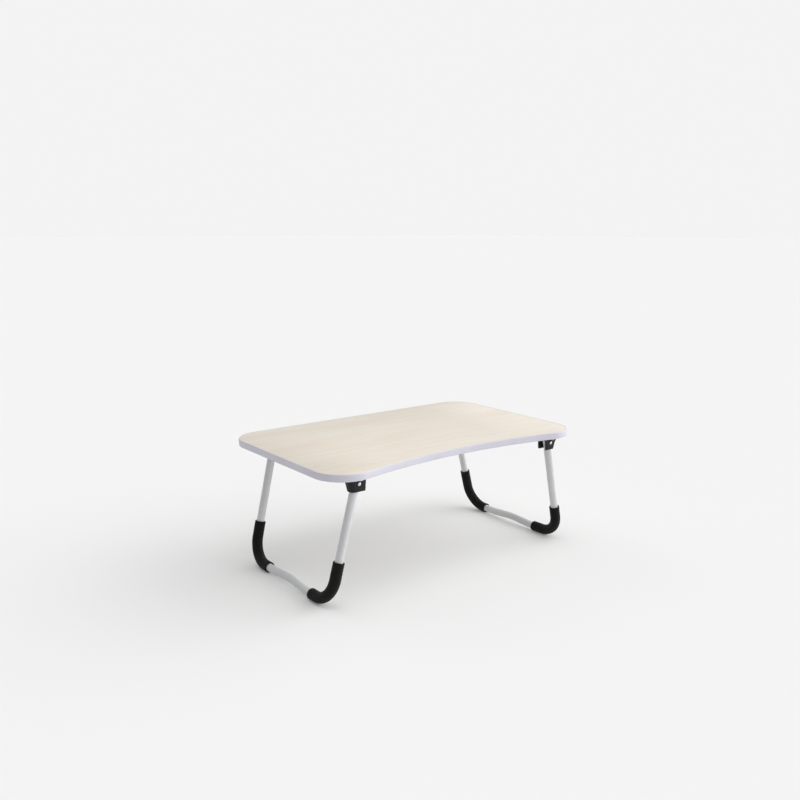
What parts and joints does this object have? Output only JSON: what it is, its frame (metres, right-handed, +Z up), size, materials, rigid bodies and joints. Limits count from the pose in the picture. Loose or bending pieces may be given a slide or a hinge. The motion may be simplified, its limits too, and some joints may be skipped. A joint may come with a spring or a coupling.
{
  "type": "folding tray table",
  "caption": "Low folding tray table: rounded laminated board with a hollowed front edge on two U-shaped tube legs that fold flat under it.",
  "frame": {"origin": "on the floor, under the middle of the board, with the legs opened", "axes": "+X along the board's length, +Y towards its straight back edge, +Z up; the hollowed front edge faces -Y"},
  "size_m": [0.6, 0.37, 0.245],
  "materials": {
    "maple_laminate": "satin, pale maple grain along the board",
    "backing_laminate": "matt melamine backing",
    "mdf": "raw fibreboard",
    "edge_band": "satin lavender-grey PVC",
    "powder_coat": "satin light grey powder coat",
    "foam_sleeve": "matt black closed-cell foam",
    "black_nylon": "fine-grained moulded plastic",
    "zinc_steel": "bright zinc plate",
    "screw_steel": "dull zinc plate"
  },
  "bodies": {
    "table_top": {"board_core": "mdf", "bottom_laminate": "backing_laminate", "bracket_screw_front_left_inner": "screw_steel", "bracket_screw_front_left_outer": "screw_steel", "bracket_screw_front_right_inner": "screw_steel", "bracket_screw_front_right_outer": "screw_steel", "bracket_screw_rear_left_inner": "screw_steel", "bracket_screw_rear_left_outer": "screw_steel", "bracket_screw_rear_right_inner": "screw_steel", "bracket_screw_rear_right_outer": "screw_steel", "edge_band": "edge_band", "hinge_bracket_front_left": "black_nylon", "hinge_bracket_front_right": "black_nylon", "hinge_bracket_rear_left": "black_nylon", "hinge_bracket_rear_right": "black_nylon", "pivot_rivet_front_left": "zinc_steel", "pivot_rivet_front_right": "zinc_steel", "pivot_rivet_rear_left": "zinc_steel", "pivot_rivet_rear_right": "zinc_steel", "rivet_washer_front_left": "zinc_steel", "rivet_washer_front_right": "zinc_steel", "rivet_washer_rear_left": "zinc_steel", "rivet_washer_rear_right": "zinc_steel", "top_laminate": "maple_laminate"},
    "left_leg": {"foot_sleeve_front_left": "foam_sleeve", "foot_sleeve_rear_left": "foam_sleeve", "leg_frame_left": "powder_coat", "tube_insert_front_left": "black_nylon", "tube_insert_rear_left": "black_nylon"},
    "right_leg": {"foot_sleeve_front_right": "foam_sleeve", "foot_sleeve_rear_right": "foam_sleeve", "leg_frame_right": "powder_coat", "tube_insert_front_right": "black_nylon", "tube_insert_rear_right": "black_nylon"}
  },
  "joints": [
    {"name": "left_leg_fold", "type": "hinge", "parent": "table_top", "child": "left_leg", "pos_m": [-0.2355, -0.0164, 0.2208], "axis": [0, -1, 0], "range_deg": [0, 103.5]},
    {"name": "right_leg_fold", "type": "hinge", "parent": "table_top", "child": "right_leg", "pos_m": [0.2355, -0.0164, 0.2208], "axis": [0, 1, 0], "range_deg": [0, 103.5]}
  ]
}
